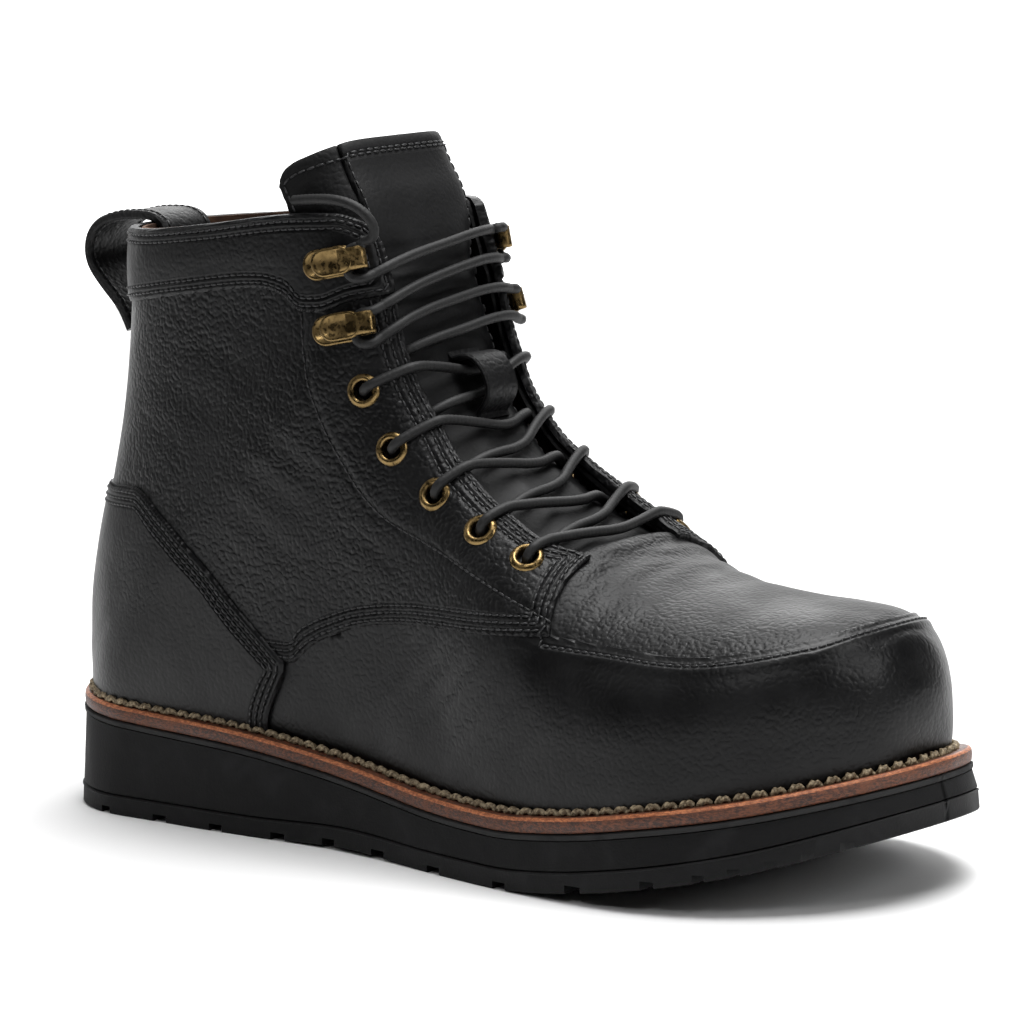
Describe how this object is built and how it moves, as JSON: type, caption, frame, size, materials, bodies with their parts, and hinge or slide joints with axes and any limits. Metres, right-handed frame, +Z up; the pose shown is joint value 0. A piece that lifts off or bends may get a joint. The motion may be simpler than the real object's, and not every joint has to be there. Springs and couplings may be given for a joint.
{
  "type": "wedge sole work boot",
  "caption": "Black leather lace-up work boot with a moc toe, a rubber wedge sole, a stitched brown welt, brass eyelets and hooks, and a pull loop at the back.",
  "frame": {"origin": "on the floor, under the middle of the boot's box", "axes": "+X to the toe, +Y to the inner (medial) side, +Z up"},
  "size_m": [0.305, 0.1137, 0.2013],
  "materials": {
    "black_leather": "full grain, satin",
    "brown_lining_leather": "matt",
    "brown_welt_leather": "waxed cut edge",
    "black_rubber": "matt",
    "antique_brass": "antiqued, half gloss",
    "black_waxed_cord": "waxed braid"
  },
  "bodies": {
    "root": {"back_strip": "black_leather", "collar_band": "black_leather", "counter": "black_leather", "eyelet_inner_1": "antique_brass", "eyelet_inner_2": "antique_brass", "eyelet_inner_3": "antique_brass", "eyelet_inner_4": "antique_brass", "eyelet_inner_5": "antique_brass", "eyelet_outer_1": "antique_brass", "eyelet_outer_2": "antique_brass", "eyelet_outer_3": "antique_brass", "eyelet_outer_4": "antique_brass", "eyelet_outer_5": "antique_brass", "hook_inner_1": "antique_brass", "hook_inner_2": "antique_brass", "hook_outer_1": "antique_brass", "hook_outer_2": "antique_brass", "insole": "brown_lining_leather", "lace": "black_waxed_cord", "lace_end": "black_waxed_cord", "lace_keeper": "black_leather", "midsole": "black_rubber", "outsole_tread": "black_rubber", "pull_loop": "black_leather", "quarters": "black_leather", "tongue": "black_leather", "upper": "black_leather", "vamp_wall": "black_leather", "wedge": "black_rubber", "welt": "brown_welt_leather"}
  },
  "joints": []
}
